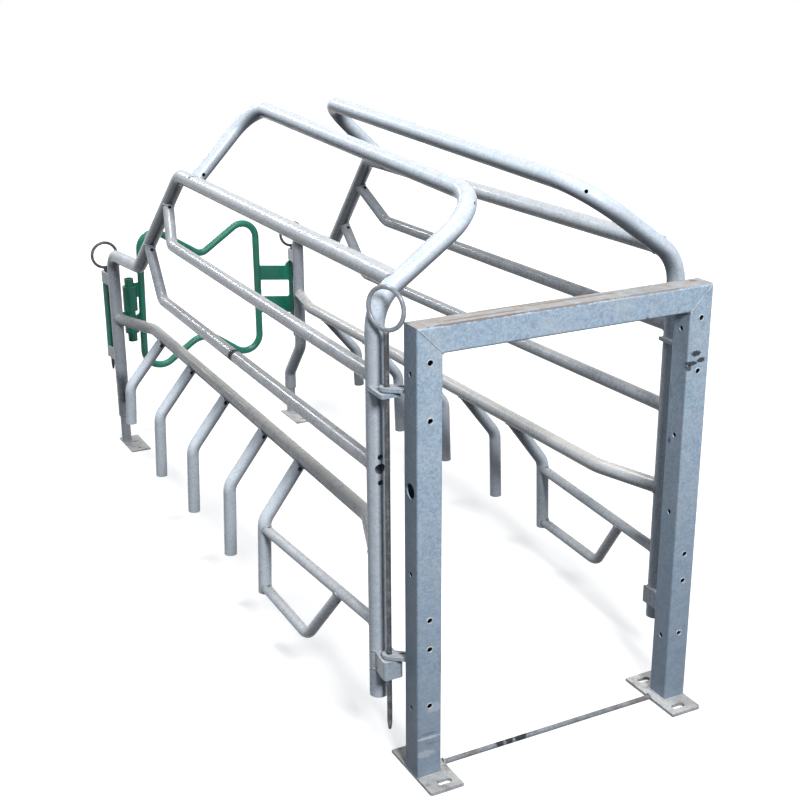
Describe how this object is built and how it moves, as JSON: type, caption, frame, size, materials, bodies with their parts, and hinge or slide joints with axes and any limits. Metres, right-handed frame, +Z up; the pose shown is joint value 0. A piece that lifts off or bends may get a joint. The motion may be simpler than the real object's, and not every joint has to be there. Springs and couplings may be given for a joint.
{
  "type": "sow crate",
  "caption": "Galvanised tube sow crate: portal of box tube, two bent side panels with hoops and finger bars, ring pins and a green swing gate at the rear.",
  "frame": {"origin": "on the floor, at the middle of the crate's width and length", "axes": "+X to the right seen from the portal, +Y from the portal to the rear gate, +Z up"},
  "size_m": [0.9022, 2.455, 1.3226],
  "materials": {
    "galvanised_steel": "hot dip galvanised, spangled",
    "green_paint": "satin green paint",
    "dark_steel": "dark bare steel"
  },
  "bodies": {
    "crate": {"portal_top_beam": "galvanised_steel", "portal_tie_rod": "galvanised_steel", "portal_left_post": "galvanised_steel", "portal_right_post": "galvanised_steel", "front_right_pin": "dark_steel", "gate_hinge_tube": "green_paint", "gate_hinge_bracket": "green_paint", "left_base_plate": "galvanised_steel", "left_post_lugs": "galvanised_steel", "left_upright_hoop": "galvanised_steel", "left_upright_lugs": "galvanised_steel", "left_top_rail_and_leg": "galvanised_steel", "left_upper_bar": "galvanised_steel", "left_middle_bar": "galvanised_steel", "left_lower_bar": "galvanised_steel", "left_fingers": "galvanised_steel", "left_front_finger": "galvanised_steel", "left_kick_bar": "galvanised_steel", "left_kick_loop": "galvanised_steel", "left_leg_lugs": "galvanised_steel", "left_foot_tube": "galvanised_steel", "left_foot_plate": "galvanised_steel", "right_base_plate": "galvanised_steel", "right_post_lugs": "galvanised_steel", "right_upright_hoop": "galvanised_steel", "right_upright_lugs": "galvanised_steel", "right_top_rail_and_leg": "galvanised_steel", "right_upper_bar": "galvanised_steel", "right_middle_bar": "galvanised_steel", "right_lower_bar": "galvanised_steel", "right_fingers": "galvanised_steel", "right_front_finger": "galvanised_steel", "right_kick_bar": "galvanised_steel", "right_kick_loop": "galvanised_steel", "right_leg_lugs": "galvanised_steel", "right_foot_tube": "galvanised_steel", "right_foot_plate": "galvanised_steel"},
    "gate": {"gate_loop": "green_paint", "gate_knuckles": "green_paint", "gate_latch_plate": "green_paint"},
    "front_left_pin_body": {"front_left_pin": "dark_steel"},
    "rear_left_pin_body": {"rear_left_pin": "dark_steel"},
    "rear_right_pin_body": {"rear_right_pin": "dark_steel"}
  },
  "joints": [
    {"name": "gate_swing", "type": "hinge", "parent": "crate", "child": "gate", "pos_m": [-0.278, 1.201, 0.5], "axis": [0, 0, 1], "range_deg": [0, 110]},
    {"name": "front_left_pin_lift", "type": "slide", "parent": "crate", "child": "front_left_pin_body", "axis": [0, 0, 1], "range_m": [0, 0.83]},
    {"name": "rear_left_pin_lift", "type": "slide", "parent": "crate", "child": "rear_left_pin_body", "axis": [0, 0, 1], "range_m": [0, 0.375]},
    {"name": "rear_right_pin_lift", "type": "slide", "parent": "crate", "child": "rear_right_pin_body", "axis": [0, 0, 1], "range_m": [0, 0.375]}
  ]
}
